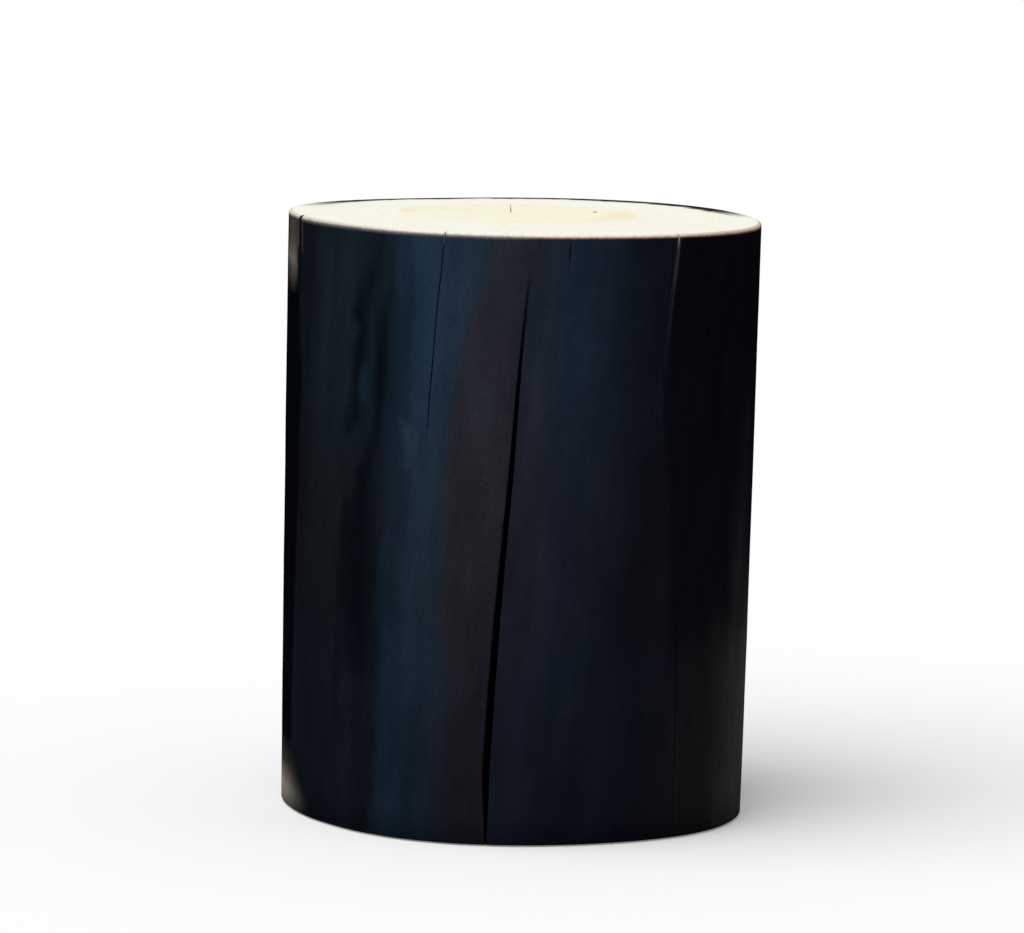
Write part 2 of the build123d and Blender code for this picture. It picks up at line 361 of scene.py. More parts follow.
def filled(loops, spacing, dense_centre=None):
    """Plan triangles that fill an outer loop, leave out the loops inside it, and keep every loop corner."""
    places, edges = [], []
    for loop in loops:
        start = len(places)
        places += [Vector(corner) for corner in loop]
        count = len(loop)
        edges += [(start + i, start + (i + 1) % count) for i in range(count)]
    kept = len(places)
    outer = np.array(loops[0])
    reach = np.hypot(*outer.T)
    around = np.arctan2(outer[:, 1], outer[:, 0])
    far = reach > reach.max() * 0.8
    order = np.argsort(around[far])
    around, reach = around[far][order], reach[far][order]
    corners = np.array([tuple(place) for place in places])
    steps = np.arange(-1, 1, spacing / TOP_RADIUS / 1.1) * TOP_RADIUS * 1.1
    grid = [(x + (i % 2) * spacing / 2, y * 0.87) for i, y in enumerate(steps) for x in steps]
    if dense_centre is not None:
        near = np.arange(-12, 13) * PITH_STEP
        dense = [(x, y) for x in near for y in near if math.hypot(x, y) < PITH_STEPS * PITH_STEP]
        clear = (PITH_STEPS + 0.5) * PITH_STEP
        grid = [(x, y) for x, y in grid if math.hypot(x - dense_centre.x, y - dense_centre.y) > clear]
        grid += [(dense_centre.x + x, dense_centre.y + y) for x, y in dense]
    for place in grid:
        spot = np.array(place)
        limit = np.interp(math.atan2(spot[1], spot[0]), around, reach, period=2 * math.pi)
        if np.hypot(*spot) > limit - spacing * 0.6:
            continue
        if np.hypot(*(corners - spot).T).min() < spacing * 0.25:
            continue
        places.append(Vector(place))
    made, _, faces, originals, _, _ = geometry.delaunay_2d_cdt(places, edges, [], 1, 1e-7)
    middles = np.array([np.mean([tuple(made[i]) for i in face], 0) for face in faces])
    solid = np.ones(len(faces), bool)
    for loop in loops[1:]:
        solid &= ~inside(np.array(loop), middles)
    return made, [face for face, kept_face in zip(faces, solid) if kept_face], originals, kept


def joined_loop(log, ring):
    """A ring's corners without the ones that lie on the corner before them."""
    loop = []
    for corner in ring:
        place = np.array(log.points[corner])
        if not loop or np.linalg.norm(place - np.array(log.points[loop[-1]])) > SAME_PLACE:
            loop.append(corner)
    if np.linalg.norm(np.array(log.points[loop[0]]) - np.array(log.points[loop[-1]])) < SAME_PLACE:
        loop.pop()
    return loop


def cap(log, loops, height, spacing, kind, up, dense_centre=None):
    """Fills a sawn face between its rim and the loops inside it."""
    plans = [[log.points[corner][:2] for corner in loop] for loop in loops]
    known = [corner for loop in loops for corner in loop]
    made, faces, originals, kept = filled(plans, spacing, dense_centre)
    numbers = []
    for place, original in zip(made, originals):
        old = [i for i in original if i < kept]
        numbers.append(known[old[0]] if old else log.point((place.x, place.y, height)))
    for face in faces:
        corners = [numbers[i] for i in face]
        a, b, c = (np.array(log.points[corner]) for corner in corners[:3])
        facing_up = np.cross(b - a, c - a)[2] > 0
        log.face(corners if facing_up == up else corners[::-1], kind)


def star_ray(log, angle, length_share, opening_share):
    """One ray of the star check: its left lip, right lip and valley, which meet at its tip."""
    out, along = outward(angle), sideways(angle)
    ray = ([], [], [])
    for i in range(1, STAR_STEPS + 1):
        t = i / STAR_STEPS
        open_here = (1 - t) ** 0.7
        meander = STAR_MEANDER * noise.noise(Vector((t * 5 * length_share, angle, 9))) * min(1, t * 4)
        meander += 0.25 * STAR_MEANDER * noise.noise(Vector((t * 23 * length_share, angle, 4)))
        middle = np.array(PITH) + out * STAR_RAY_LENGTH * length_share * t + along * meander + level(TOP_Z)
        half = along * STAR_WIDTH * opening_share / 2 * open_here
        drop = STAR_DEPTH * opening_share * open_here
        if i == STAR_STEPS:
            corners = [log.point(middle)] * 3
        else:
            corners = [log.point(middle + lip) for lip in (-half, half)]
            corners.append(log.point(middle - level(drop), drop))
        for row, corner in zip(ray, corners):
            row.append(corner)
    return ray


def star_loop(log):
    """Star check at the pith: its mouth as a loop of corners, with its walls and valleys below."""
    rays = [star_ray(log, *shares) for shares in STAR_RAY_SHARES]
    deepest = log.point(np.array(PITH) + level(TOP_Z - STAR_DEPTH), STAR_DEPTH)
    corners = []
    for i, (angle, _, _) in enumerate(STAR_RAY_SHARES):
        following = STAR_RAY_SHARES[(i + 1) % len(STAR_RAY_SHARES)]
        between = angle + ((following[0] - angle) % 360) / 2
        corners.append(log.point(np.array(PITH) + outward(between) * STAR_WIDTH * 0.45 + level(TOP_Z)))
    loop = []
    for i, (left, right, valley) in enumerate(rays):
        lefts, rights, valleys = [corners[i - 1]] + left, [corners[i]] + right, [deepest] + valley
        for lips, order in ((lefts, 1), (rights, -1)):
            for a, b, c, d in zip(lips, lips[1:], valleys[1:], valleys):
                log.face(([a, b, c, d] if b != c else [a, b, d])[::order], WALL)
        loop += left + right[-2::-1] + [corners[i]]
    return loop


def ring_of(log, centre, radius, height):
    """Level ring of corners round a point."""
    corners = []
    for i in range(RECESS_SIDES):
        turn = math.tau * i / RECESS_SIDES
        x, y = radius * math.cos(turn), radius * math.sin(turn)
        corners.append(log.point((centre.x + x, centre.y + y, height)))
    return corners


def bridge(log, low, high):
    """Faces of the base's kind between two rings with as many corners."""
    for i in range(len(low)):
        j = (i + 1) % len(low)
        log.face((low[j], low[i], high[i], high[j]), BASE)


def glide_recess(log, name):
    """Recess and pilot hole for one glide. Returns the loop at its mouth."""
    low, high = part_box(f"glide_cup_{name}")
    middle = (low + high) / 2
    radius = (high.x - low.x) / 2 + RECESS_CLEARANCE
    pilot = SCREW_SHANK_RADIUS + SCREW_CLEARANCE
    pilot_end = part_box("glide_screws")[1].z + PILOT_OVERRUN
    sizes = ((radius, BASE_Z), (radius, high.z), (pilot, high.z), (pilot, pilot_end))
    rings = [ring_of(log, middle, *size) for size in sizes]
    for lower, upper in zip(rings, rings[1:]):
        bridge(log, lower, upper)
    log.face(rings[-1], BASE)
    return rings[0]


def new_mesh(name, points, faces):
    """A mesh of corners and smooth faces."""
    mesh = bpy.data.meshes.new(name)
    mesh.from_pydata(points, [], faces)
    mesh.polygons.foreach_set("use_smooth", [True] * len(faces))
    return mesh


def new_object(name, data):
    """An object put into the scene."""
    made = bpy.data.objects.new(name, data)
    bpy.context.collection.objects.link(made)
    return made


def ring_place(points):
    """Where each point lies among the growth rings: round the pith inside, along the outline outside."""
    flat = np.array(points)[:, :2] + AXIS[:2]
    reach = np.hypot(flat[:, 0], flat[:, 1])
    angle = np.degrees(np.arctan2(flat[:, 0], -flat[:, 1]))
    outline = log_radius(angle, 1.0)
    share = np.clip(reach / outline, 0, 1)
    from_pith = flat - (np.array(PITH)[:2] + AXIS[:2]) * (1 - share)[:, None]
    round_out = 1 + (TOP_RADIUS / outline - 1) * share ** 2
    place = np.zeros((len(flat), 3))
    place[:, :2] = from_pith * round_out[:, None]
    place[:, 2] = np.array(points)[:, 2]
    return place


def log_mesh():
    """The whole log as one closed mesh."""
    log = Log()
    rows = side_rows(log)
    top_loops = [joined_loop(log, rows[-1]), star_loop(log)]
    cap(log, top_loops, TOP_Z, CAP_STEP, END, True, PITH)
    base_loops = [joined_loop(log, rows[0])] + [glide_recess(log, name) for name in GLIDE_NAMES]
    cap(log, base_loops, BASE_Z, CAP_STEP * 1.5, BASE, False)
    mesh = new_mesh("log", log.points, log.faces)
    mesh.polygons.foreach_set("material_index", log.kinds)
    for name, values in (("split", log.split), ("seep", log.seep)):
        mesh.attributes.new(name, "FLOAT", "POINT").data.foreach_set("value", values)
    for name, values in (("ring_place", ring_place(log.points)), ("past", np.array(log.past))):
        mesh.attributes.new(name, "FLOAT_VECTOR", "POINT").data.foreach_set("vector", values.ravel())
    return mesh


def joined(mesh):
    """Joins corners that lie together, where a check is shut, and marks the sharp edges."""
    work = bmesh.new()
    work.from_mesh(mesh)
    bmesh.ops.remove_doubles(work, verts=work.verts, dist=1e-6)
    bmesh.ops.dissolve_degenerate(work, edges=work.edges, dist=1e-7)
    work.to_mesh(mesh)
    work.free()
    mesh.validate()
    mesh.set_sharp_from_angle(angle=math.radians(SHARP_ANGLE))
    return mesh


class Nodes:
    """Short calls that build the nodes of a material, or of another owner of nodes."""

    def __init__(self, name, owner=None):
        self.owner = owner or bpy.data.materials.new(name)
        self.owner.use_nodes = True
        self.tree = self.owner.node_tree
        self.shader = self.tree.nodes.get("Principled BSDF")

    def set(self, socket, value):
        if isinstance(value, bpy.types.NodeSocket):
            self.tree.links.new(value, socket)
        else:
            socket.default_value = value

    def add(self, kind, inputs=(), **settings):
        """A node with its settings, and its inputs by name or number."""
        node = self.tree.nodes.new(kind)
        for key, value in settings.items():
            setattr(node, key, value)
        for key, value in dict(inputs).items():
            self.set(node.inputs[key], value)
        return node

    def math(self, operation, *values):
        return self.add("ShaderNodeMath", enumerate(values), operation=operation).outputs[0]

    def product(self, *values):
        """All the values multiplied together."""
        result = values[0]
        for value in values[1:]:
            result = self.math("MULTIPLY", result, value)
        return result

    def minus(self, value, other):
        return self.math("SUBTRACT", value, other)

    def plus(self, value, share, other):
        """A share of a value, added to another."""
        return self.math("MULTIPLY_ADD", value, share, other)

    def vector(self, operation, *values):
        node = self.add("ShaderNodeVectorMath", enumerate(values), operation=operation)
        return node.outputs["Value" if operation == "LENGTH" else "Vector"]

    def split(self, vector):
        return self.add("ShaderNodeSeparateXYZ", {0: vector}).outputs

    def noise(self, place, scale, detail=3.0, roughness=0.55, distortion=0.0):
        inputs = {"Vector": place, "Scale": scale, "Detail": detail, "Roughness": roughness}
        inputs["Distortion"] = distortion
        return self.add("ShaderNodeTexNoise", inputs).outputs[0]

    def swing(self, *settings):
        """Noise round zero."""
        return self.minus(self.noise(*settings), 0.5)

    def ramp(self, value, stops):
        node = self.add("ShaderNodeValToRGB", {0: value})
        elements = node.color_ramp.elements
        while len(elements) < len(stops):
            elements.new(0.5)
        for element, (place, colour) in zip(elements, stops):
            element.position = place
            element.color = (*colour, 1) if isinstance(colour, tuple) else (colour, colour, colour, 1)
        return node.outputs[0]

    def mix(self, share, first, second, blend="MIX"):
        sides = [(*value, 1) if isinstance(value, tuple) else value for value in (first, second)]
        inputs = {"Factor": share, 6: sides[0], 7: sides[1]}
        settings = {"data_type": "RGBA", "blend_type": blend, "clamp_factor": True}
        return self.add("ShaderNodeMix", inputs, **settings).outputs[2]

    def fade(self, value, low, high, to_low=0.0, to_high=1.0, smooth=True):
        """Moves from one value to another while the first goes from low to high."""
        inputs = {"Value": value, "From Min": low, "From Max": high, "To Min": to_low, "To Max": to_high}
        kind = "SMOOTHSTEP" if smooth else "LINEAR"
        return self.add("ShaderNodeMapRange", inputs, interpolation_type=kind).outputs[0]

    def fall(self, value, low, high):
        """Falls from 1 to 0 while a value goes from low to high."""
        return self.fade(value, low, high, 1.0, 0.0)

    def attribute(self, name, output="Fac"):
        return self.add("ShaderNodeAttribute", attribute_name=name).outputs[output]

    def own_place(self):
        return self.add("ShaderNodeTexCoord").outputs["Object"]

    def bump(self, height, distance, strength):
        inputs = {"Height": height, "Distance": distance, "Strength": strength}
        return self.add("ShaderNodeBump", inputs).outputs[0]

    def seen(self):
        """1 for what the camera sees, also in a reflection or through glass."""
        path = self.add("ShaderNodeLightPath").outputs
        other = self.math("MAXIMUM", path["Is Glossy Ray"], path["Is Transmission Ray"])
        return self.math("MAXIMUM", path["Is Camera Ray"], other)

    def finish(self, colour, roughness, normal, specular):
        self.set(self.shader.inputs["Base Color"], colour)
        self.set(self.shader.inputs["Roughness"], roughness)
        self.shader.inputs["Specular IOR Level"].default_value = specular
        if normal is not None:
            self.set(self.shader.inputs["Normal"], normal)
        return self.owner


def grain_space(nodes):
    """Position with the spiral taken out of the grain, and the height's share."""
    place = nodes.own_place()
    height = nodes.split(place)[2]
    share = nodes.math("DIVIDE", nodes.minus(height, BASE_Z), HEIGHT)
    turn = nodes.product(nodes.minus(1.0, share), math.radians(GRAIN_ANGLE))
    rotate = nodes.add("ShaderNodeVectorRotate", {"Vector": place, "Angle": turn}, rotation_type="Z_AXIS")
    return place, rotate.outputs[0], share, height


def turn_share(angle):
    """Share of a full turn at which an angle lies, counted from the back."""
    return angle / 360 + 0.5


# Arris, from where the dye stops up to the sawn face
ARRIS_REACH = 4.6 * MM
ARRIS_WARM_SHARE = 0.76
ARRIS_GREY_TONES = (
    (0.0, (0.014, 0.018, 0.024)), (0.20, (0.036, 0.038, 0.042)), (0.35, (0.078, 0.078, 0.080)),
    (0.48, (0.155, 0.150, 0.148)), (0.61, (0.31, 0.295, 0.275)), (0.74, (0.60, 0.57, 0.52)),
    (0.87, (0.86, 0.82, 0.75)), (1.0, (0.93, 0.90, 0.80)),
)
ARRIS_WARM_TONES = (
    (0.20, (0.012, 0.010, 0.010)), (0.33, (0.030, 0.018, 0.014)), (0.46, (0.11, 0.068, 0.048)),
    (0.59, (0.36, 0.25, 0.19)), (0.72, (0.68, 0.55, 0.45)), (0.87, (0.89, 0.81, 0.71)),
    (1.0, (0.93, 0.90, 0.80)),
)
ARRIS_SHADE = (0.78, 0.73, 0.73)
DYE_SPECULAR = 0.0

# Dye tones, each at the rim and at the foot; most foot tones are darker, which paints shade towards the
# floor along with the dye's own changes of hue
BLACK, BLACK_FOOT = (0.0011, 0.0016, 0.0028), (0.0012, 0.0016, 0.0027)
TEAL, TEAL_FOOT = (0.0055, 0.0101, 0.0134), (0.0043, 0.0060, 0.0090)
DIM, DIM_FOOT = (0.0044, 0.0080, 0.0118), (0.0042, 0.0056, 0.0088)
DEEP_BLUE, DEEP_BLUE_FOOT = (0.0072, 0.0165, 0.0305), (0.0058, 0.0116, 0.0215)
BLUE, BLUE_FOOT = (0.0142, 0.0322, 0.0550), (0.0074, 0.0138, 0.0240)
SKY, SKY_FOOT = (0.0135, 0.0255, 0.0450), (0.0084, 0.0108, 0.0178)
DUSK, DUSK_FOOT = (0.0130, 0.0172, 0.0270), (0.0056, 0.0074, 0.0128)
VIOLET, VIOLET_FOOT = (0.0094, 0.0160, 0.0300), (0.0052, 0.0076, 0.0122)
SLATE, SLATE_FOOT = (0.0056, 0.0083, 0.0140), (0.0049, 0.0065, 0.0107)
NAVY, NAVY_FOOT = (0.0042, 0.0056, 0.0090), (0.0050, 0.0058, 0.0090)
MAUVE, MAUVE_FOOT = (0.0165, 0.0176, 0.0240), (0.0082, 0.0080, 0.0110)
INK, INK_FOOT = (0.0027, 0.0025, 0.0045), (0.0034, 0.0037, 0.0058)
PLUM = (0.0024, 0.0034, 0.0058)
STREAK = (0.0021, 0.0032, 0.0055)
# Painted sheen: dim and bright tones of the grazing reflection on the right foot
RIGHT_FOOT_SHEEN_DIM = (0.0080, 0.0079, 0.0077)
RIGHT_FOOT_SHEEN_TONE = (0.0365, 0.0355, 0.0330)
GREYED = (0.0240, 0.0255, 0.0275)
LEFT_LIP = (0.0185, 0.0180, 0.0215)
# Painted sheen: pale tone of the grazing reflection on the left edge near the rim
LEFT_EDGE_SHEEN_TONE = (0.1350, 0.1200, 0.1000)
# Painted sheen: lighter tone of the grazing reflection on the right edge
RIGHT_EDGE_SHEEN_TONE = (0.0105, 0.0118, 0.0152)
# Painted sheen: pale tone of the grazing reflection at the left foot
LEFT_FOOT_SHEEN_TONE = (0.27, 0.235, 0.185)
ORANGE_SPOT_TONE = (0.17, 0.090, 0.045)
# Painted highlight: tone of the cyan glint
CYAN = (0.0140, 0.0350, 0.0510)

# Bands of dye round the log: angle, tone at the rim, tone at the foot
DYE_TWIST = 3.0
DYE_BANDS = (
    (-180, VIOLET_FOOT, SLATE_FOOT), (-156, NAVY, NAVY_FOOT), (-132, SLATE, SLATE_FOOT),
    (-112, VIOLET_FOOT, DIM_FOOT), (-94, DIM, DIM_FOOT), (-64, DIM_FOOT, DIM_FOOT),
    (-57, TEAL, TEAL_FOOT), (-46, TEAL, TEAL_FOOT), (-40, DIM, DIM_FOOT), (-35, DIM, DIM_FOOT),
    (-31, DEEP_BLUE, DEEP_BLUE_FOOT), (-28.5, DEEP_BLUE, DEEP_BLUE_FOOT), (-25, BLUE, BLUE_FOOT),
    (-22, BLUE, BLUE_FOOT), (-15, SKY, SKY_FOOT), (-4, DUSK, DUSK_FOOT), (4, DUSK, DUSK_FOOT),
    (11, VIOLET, VIOLET_FOOT), (26, SLATE, SLATE_FOOT), (34, NAVY, NAVY_FOOT), (60, NAVY, NAVY_FOOT),
    (92, INK_FOOT, NAVY_FOOT), (108, TEAL, TEAL_FOOT), (128, DEEP_BLUE_FOOT, VIOLET_FOOT),
    (152, SLATE, SLATE_FOOT), (180, VIOLET_FOOT, SLATE_FOOT),
)
# Soft bands whose rows are height share, angle at the middle, half width in degrees, and strength
BRANCH_STREAK = (
    (0.645, -46.8, 0.5, 0.0), (0.662, -45.2, 2.2, 0.7), (0.688, -43.3, 3.8, 1.0),
    (0.712, -43.4, 2.4, 0.85), (0.74, -43.1, 2.2, 0.8), (0.768, -42.6, 2.8, 0.95),
    (0.795, -42.0, 3.6, 1.0), (0.818, -41.4, 2.4, 1.0), (0.832, -40.9, 1.8, 1.0),
    (0.845, -41.6, 2.6, 1.0), (0.857, -42.3, 3.5, 1.0), (0.88, -41.2, 3.5, 0.95),
    (0.908, -39.8, 3.6, 0.8), (0.93, -38.8, 3.2, 0.6), (0.95, -37.8, 2.2, 0.3), (0.97, -37.0, 1.5, 0.0),
)
SIDE_STREAK = (
    (0.245, -40.0, 6.0, 0.0), (0.272, -39.9, 6.5, 0.8), (0.315, -40.2, 6.6, 0.95),
    (0.365, -40.7, 6.0, 1.0), (0.423, -41.2, 6.9, 1.0), (0.497, -41.5, 6.8, 1.0),
    (0.535, -40.9, 4.6, 1.0), (0.565, -40.3, 3.4, 1.0), (0.60, -39.5, 2.9, 0.95),
    (0.633, -37.3, 2.5, 0.8), (0.667, -35.9, 1.9, 0.75), (0.70, -35.5, 1.7, 0.9), (0.74, -34.9, 2.5, 0.9),
    (0.83, -35.2, 2.5, 0.8), (0.87, -34.7, 2.0, 0.5), (0.90, -34.5, 1.4, 0.0),
)
LEFT_STREAK = (
    (0.16, -47.5, 0.8, 0.0), (0.24, -47.3, 2.0, 0.5), (0.42, -46.6, 2.4, 0.5), (0.54, -45.4, 1.6, 0.5),
    (0.6, -44.6, 1.0, 0.0),
)
BLUE_DAB = (
    (0.70, -40.3, 1.0, 0.0), (0.725, -40.3, 1.8, 0.35), (0.75, -40.5, 1.9, 0.4), (0.785, -40.7, 1.2, 0.0),
)
# Painted highlight: a small cyan glint on the side
CYAN_GLINT = (
    (0.60, -26.7, 0.8, 0.0), (0.62, -26.7, 1.5, 0.25), (0.642, -25.4, 2.0, 0.5), (0.672, -26.6, 2.3, 0.6),
    (0.689, -28.2, 1.6, 0.45), (0.70, -28.9, 0.9, 0.0),
)
# Painted sheen: band of the grazing reflection on the left edge near the rim
LEFT_EDGE_SHEEN = (
    (0.868, -78.0, 4.0, 0.0), (0.885, -78.0, 6.0, 0.15), (0.903, -77.5, 8.0, 0.36),
    (0.915, -78.0, 8.0, 0.58), (0.926, -79.0, 7.5, 0.88), (0.938, -79.0, 7.5, 0.66),
    (0.95, -78.8, 8.0, 0.48), (0.965, -78.5, 8.0, 0.34), (1.0, -78.5, 8.0, 0.32),
)
# Painted sheen: band of the grazing reflection on the right edge
RIGHT_EDGE_SHEEN = (
    (0.31, 72.0, 9.0, 0.0), (0.4, 72.0, 9.0, 0.9), (0.54, 72.0, 9.0, 0.5), (0.67, 72.0, 9.0, 0.24),
    (0.77, 72.0, 8.0, 0.0),
)
# Painted sheen: band of the grazing reflection at the left foot
LEFT_FOOT_SHEEN = (
    (0.0, -83.0, 19.0, 0.4), (0.015, -83.0, 19.0, 0.75), (0.03, -83.0, 18.5, 0.85),
    (0.05, -82.0, 15.0, 0.45), (0.075, -81.0, 12.0, 0.1), (0.12, -80.0, 8.0, 0.0),
)
# An orange-brown spot at the right foot
ORANGE_FOOT_SPOT = (
    (0.0, 86.0, 6.5, 0.85), (0.03, 86.0, 5.5, 0.6), (0.055, 86.0, 3.5, 0.0),
)
SKY_SLIVER = (
    (0.72, -18.9, 1.4, 0.0), (0.86, -18.0, 2.2, 0.5), (1.0, -17.2, 2.4, 0.55),
)
RIGHT_STREAK = (
    (0.25, 62.5, 1.0, 0.0), (0.42, 62.0, 3.0, 0.6), (0.7, 60.5, 2.6, 0.5), (0.85, 60.0, 1.5, 0.0),
)
BACK_STREAK = (
    (0.12, 133.0, 1.5, 0.0), (0.3, 134.5, 3.4, 0.7), (0.62, 133.5, 2.6, 0.75), (0.8, 135.5, 1.6, 0.0),
)
BACK_LEFT_STREAK = (
    (0.3, -160.0, 1.6, 0.0), (0.5, -161.0, 3.2, 0.7), (0.8, -159.5, 2.4, 0.7), (0.95, -158.0, 1.4, 0.0),
)
# Each soft band with its tone; the sheen bands and the cyan glint are painted highlights
DYE_MARKS = (
    (BRANCH_STREAK, PLUM), (SIDE_STREAK, STREAK), (LEFT_STREAK, STREAK), (RIGHT_STREAK, INK),
    (BACK_STREAK, NAVY_FOOT), (BACK_LEFT_STREAK, INK_FOOT), (BLUE_DAB, DEEP_BLUE), (CYAN_GLINT, CYAN),
    (SKY_SLIVER, SKY), (RIGHT_EDGE_SHEEN, RIGHT_EDGE_SHEEN_TONE), (LEFT_FOOT_SHEEN, LEFT_FOOT_SHEEN_TONE), (ORANGE_FOOT_SPOT, ORANGE_SPOT_TONE),
)
# Angle of the mauve band's left edge, by height share
MAUVE_EDGE = (
    (0.0, -12.4), (0.24, -13.9), (0.37, -15.2), (0.56, -16.8),
    (0.69, -16.3), (0.8, -14.3), (0.9, -9.9), (1.0, -7.4),
)
# Angle of the black band's right edge, by height share
BLACK_EDGE = (
    (0.0, -72.0), (0.2, -70.8), (0.5, -68.9), (0.74, -67.8),
    (0.86, -71.0), (0.9, -73.0), (1.0, -73.0),
)
# Angle of the ink-dark band's left edge, by height share
INK_EDGE = (
    (0.0, 43.5), (0.2, 44.5), (0.4, 40.5), (0.56, 39.5),
    (0.7, 36.2), (0.83, 36.0), (0.92, 37.0), (1.0, 38.9),
)
# Angle of the left edge of the painted sheen on the right foot, by height share
RIGHT_FOOT_SHEEN_EDGE = ((0.0, 44.0), (0.2, 46.0), (0.3, 48.0), (0.36, 58.0), (0.42, 68.0), (0.5, 78.0))


class Dye(Nodes):
    """The dyed side's material, with the places that its bands and marks are read from."""

    def __init__(self):
        super().__init__("dyed_side")
        self.place, self.grain, self.share, self.height = grain_space(self)
        self.long_grain = self.vector("MULTIPLY", self.grain, (1, 1, 0.16))
        self.fibre_grain = self.vector("MULTIPLY", self.grain, (1, 1, 0.035))
        self.short_grain = self.vector("MULTIPLY", self.grain, (1, 1, 0.3))
        x, y, _ = self.split(self.vector("ADD", self.place, tuple(AXIS)))
        turn = self.math("ARCTAN2", x, self.product(y, -1.0))
        self.turn = self.math("ADD", self.math("DIVIDE", turn, math.tau), 0.5)
        twist = self.product(self.minus(1.0, self.share), DYE_TWIST / 360)
        stained = self.math("ADD", self.turn, twist)
        self.wander = self.swing(self.long_grain, 26, 5, 0.6)
        self.wavy = self.plus(self.wander, 0.020, stained)
        self.near = self.plus(self.swing(self.short_grain, 90, 4, 0.6), 0.006, stained)
        self.past_main, self.past_left, self.past_right = self.split(self.attribute("past", "Vector"))
        self.fibre = self.noise(self.fibre_grain, 210, 6, 0.62)
        self.thread = self.noise(self.fibre_grain, 820, 4, 0.6)
        self.fleck = self.noise(self.place, 560, 3, 0.6)

    def scaled(self, colour, amount):
        """A colour multiplied by a value."""
        return self.add("ShaderNodeVectorMath", {0: colour, "Scale": amount}, operation="SCALE").outputs[0]

    def soft_band(self, rows):
        """Mask of a soft band that wanders up the log."""
        spread = 20
        stops = [
            (height, (turn_share(middle), half / 360 * spread, strength))
            for height, middle, half, strength in rows
        ]
        middle, half, strength = self.split(self.ramp(self.share, stops))
        away = self.math("ABSOLUTE", self.minus(self.near, middle))
        ratio = self.math("DIVIDE", self.product(away, spread), half)
        return self.product(self.fall(ratio, 0.1, 1.35), strength)

    def rising(self, low, high):
        """Mask that rises from one angle round the log to another."""
        return self.fade(self.wavy, turn_share(low), turn_share(high))

    def beyond(self, turn, rows, feather):
        """Mask of what lies at larger angles than an edge that wanders up the log."""
        edge = self.ramp(self.share, [(height, turn_share(angle)) for height, angle in rows])
        return self.fade(self.minus(turn, edge), -feather / 360, feather / 360)

    def bands(self):
        """Bands of dye round the log, darker towards the foot as painted shade, and the mauve band that ends
        at the main check.
        """
        rim_tone = self.ramp(self.wavy, [(turn_share(angle), tone) for angle, tone, _ in DYE_BANDS])
        foot_tone = self.ramp(self.wavy, [(turn_share(angle), tone) for angle, _, tone in DYE_BANDS])
        # Rim tones above, foot tones below: the darkening towards the floor is painted shade
        colour = self.mix(self.fade(self.share, 0.78, 0.14, smooth=False), rim_tone, foot_tone)
        mauve = self.mix(self.fade(self.share, 0.62, 0.1, smooth=False), MAUVE, MAUVE_FOOT)
        main_left = self.fade(self.share, 0.88, 0.95, -0.6 * MM, -4.0 * MM)
        main_right = self.fade(self.share, 0.88, 0.95, 0.2 * MM, 6.0 * MM)
        mauve_mask = self.product(
            self.beyond(self.wavy, MAUVE_EDGE, 2.4),
            self.rising(60, 40),
            self.fall(self.past_main, main_left, main_right),
        )
        colour = self.mix(mauve_mask, colour, mauve)
        black_mask = self.product(
            self.minus(1.0, self.beyond(self.near, BLACK_EDGE, 1.5)),
            self.rising(-104, -88),
            self.rising(-44, -56),
        )
        return self.mix(black_mask, colour, self.mix(self.share, BLACK_FOOT, BLACK))

    def right_zones(self, colour):
        """Ink-dark zone right of the grey check, and painted sheen on the foot below it, brighter towards
        the edge.
        """
        lifted = self.plus(self.wander, 0.3, self.share)
        ink = self.mix(self.fade(self.share, 0.85, 0.4), INK, INK_FOOT)
        ink_mask = self.product(
            self.beyond(self.near, INK_EDGE, 1.4),
            self.rising(88, 76),
            self.fade(lifted, 0.2, 0.42, 0.0, 0.95),
        )
        colour = self.mix(ink_mask, colour, ink)
        # Painted sheen on the right foot, brighter towards the edge
        right_foot_sheen = self.mix(self.rising(53, 80), RIGHT_FOOT_SHEEN_DIM, RIGHT_FOOT_SHEEN_TONE)
        right_foot_sheen_mask = self.product(
            self.beyond(self.wavy, RIGHT_FOOT_SHEEN_EDGE, 7.0),
            self.rising(122, 86),
            self.fade(lifted, 0.46, 0.2),
        )
        return self.mix(right_foot_sheen_mask, colour, right_foot_sheen)

    def marks(self, colour):
        """Streaks and dabs of the dye, lips and a trace by the checks, an orange-brown spot, and painted
        sheen and a painted glint.
        """
        for rows, tone in DYE_MARKS:
            colour = self.mix(self.soft_band(rows), colour, tone)
        # Painted sheen on the left edge near the rim, kept to the left of the left check
        strip_fades = self.fade(self.share, 0.935, 0.955, -10.0 * MM, -3.0 * MM)
        strip_ends = self.fade(self.share, 0.935, 0.955, -4.0 * MM, -2.2 * MM)
        strip_side = self.fall(self.past_left, strip_fades, strip_ends)
        colour = self.mix(self.product(self.soft_band(LEFT_EDGE_SHEEN), strip_side), colour, LEFT_EDGE_SHEEN_TONE)
        left_lip = self.product(
            self.fade(self.past_left, 2.2 * MM, 3.0 * MM),
            self.fall(self.past_left, 6.0 * MM, 8.5 * MM),
            self.fade(self.share, 0.925, 0.96, 0.0, 0.85),
        )
        colour = self.mix(left_lip, colour, LEFT_LIP)
        trace = self.product(
            self.fall(self.math("ABSOLUTE", self.past_main), 0.4 * MM, 2.4 * MM),
            self.fade(self.share, 0.78, 0.86, 0.2, 1.0),
            self.fade(self.share, 0.9, 0.98, 0.5, 0.0),
        )
        colour = self.mix(trace, colour, PLUM)
        right_lip = self.product(
            self.fall(self.math("ABSOLUTE", self.past_right), 0.7 * MM, 2.3 * MM),
            self.ramp(self.share, [(0.74, 0.0), (0.83, 0.22), (0.88, 0.42), (0.905, 0.55), (0.93, 0.95)]),
        )
        return self.mix(right_lip, colour, GREYED)

